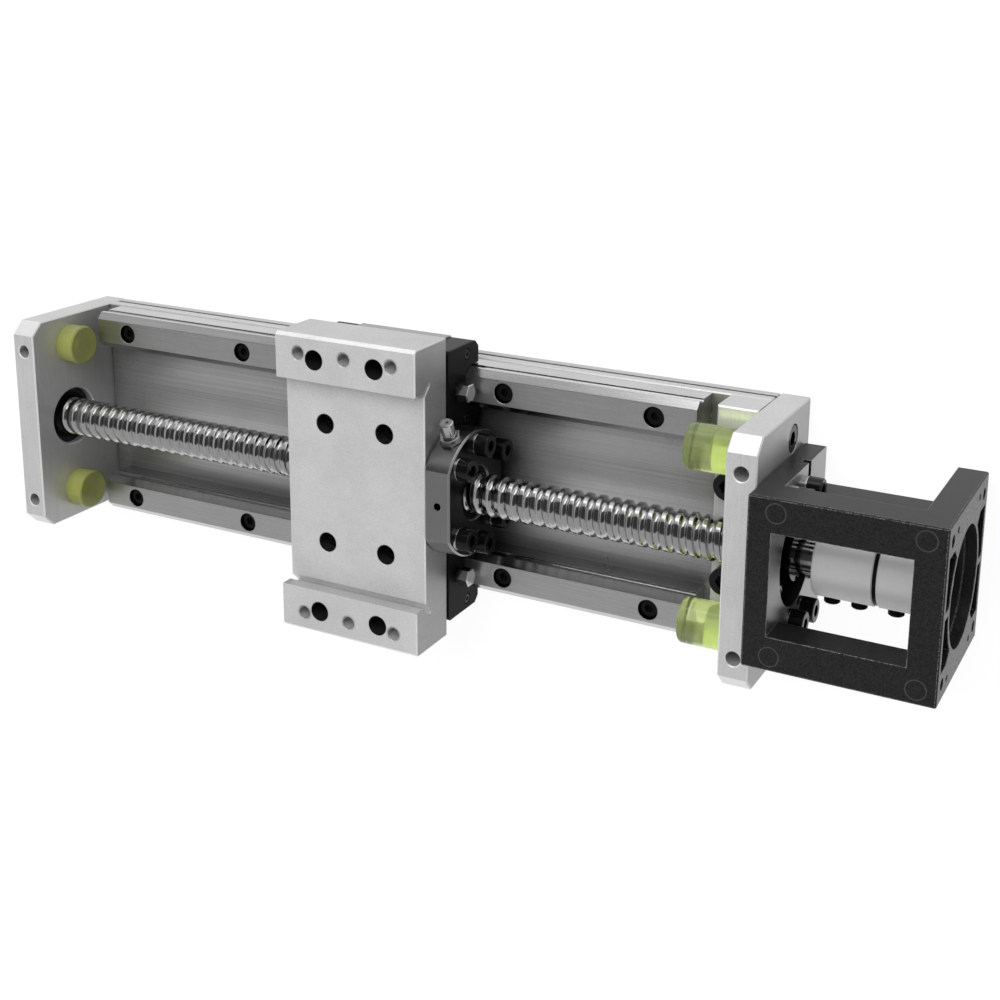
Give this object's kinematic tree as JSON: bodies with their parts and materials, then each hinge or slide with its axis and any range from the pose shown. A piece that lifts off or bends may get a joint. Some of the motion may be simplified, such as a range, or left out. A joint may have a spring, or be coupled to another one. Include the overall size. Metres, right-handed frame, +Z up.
{
  "type": "ball screw slide table",
  "caption": "Motor-less ball screw slide table: carriage on two profile rails between end plates, with nut, bumpers, coupling and motor bracket.",
  "frame": {"origin": "centre of the base plate's underside", "axes": "+X along the travel towards the motor, +Z up out of the base through the carriage, +Y to the left side"},
  "size_m": [0.3858, 0.1172, 0.0643],
  "materials": {
    "aluminium": "clear anodised, satin, with bright machined chamfers",
    "rail_steel": "ground and oiled",
    "nut_steel": "hardened, grey, smooth",
    "screw_steel": "ground and polished",
    "black_oxide": "black oxide, slightly glossy",
    "bright_steel": "bright zinc",
    "urethane": "translucent yellow-green polyurethane",
    "black_plastic": "moulded, matt",
    "black_rubber": "matt",
    "bracket_paint": "black, fine texture, machined end faces"
  },
  "bodies": {
    "base": {"base_plate": "aluminium", "bearing_cap": "black_oxide", "bearing_cap_screws": "black_oxide", "bearing_seals": "black_rubber", "bracket_screws": "black_oxide", "bracket_washers": "bright_steel", "bumper_drive_left": "urethane", "bumper_drive_right": "urethane", "bumper_idle_left": "urethane", "bumper_idle_right": "urethane", "bumper_studs": "bright_steel", "drive_bearing_inside_outer_ring": "screw_steel", "drive_bearing_outside_outer_ring": "screw_steel", "drive_end_plate": "aluminium", "drive_plate_screws": "black_oxide", "foot_block": "aluminium", "foot_screws": "black_oxide", "idle_bearing_outer_ring": "screw_steel", "idle_end_plate": "aluminium", "idle_plate_screws": "black_oxide", "motor_bracket": "bracket_paint", "rail_bolts": "black_oxide", "rail_left": "rail_steel", "rail_right": "rail_steel"},
    "carriage": {"carriage_plate": "aluminium", "block_left": "rail_steel", "block_right": "rail_steel", "block_seals": "black_rubber", "cap_screws": "black_oxide", "block_nipples": "bright_steel", "block_bolts": "black_oxide", "ball_nut": "nut_steel", "nut_wipers": "black_plastic", "nut_bolts": "black_oxide", "nut_washers": "bright_steel", "nut_nipple": "bright_steel", "block_cap_drive_left": "black_plastic", "block_cap_drive_right": "black_plastic", "block_cap_idle_left": "black_plastic", "block_cap_idle_right": "black_plastic"},
    "screw": {"ball_screw": "screw_steel", "retaining_ring": "screw_steel", "lock_nut": "screw_steel", "coupling_screw_hub": "aluminium", "coupling_motor_hub": "aluminium", "coupling_disc": "black_plastic", "coupling_screws": "black_oxide", "drive_bearing_inside_inner_ring": "screw_steel", "drive_bearing_outside_inner_ring": "screw_steel", "idle_bearing_inner_ring": "screw_steel"}
  },
  "joints": [
    {"name": "carriage_travel", "type": "slide", "parent": "base", "child": "carriage", "axis": [1, 0, 0], "range_m": [-0.117, 0.0825]},
    {"name": "screw_spin", "type": "hinge", "parent": "base", "child": "screw", "pos_m": [0, 0, 0.0348], "axis": [1, 0, 0], "range_deg": [-5941, 8425]}
  ],
  "couplings": [
    {"joint": "screw_spin", "follows": "carriage_travel", "rad_per_m": -1256.6}
  ]
}
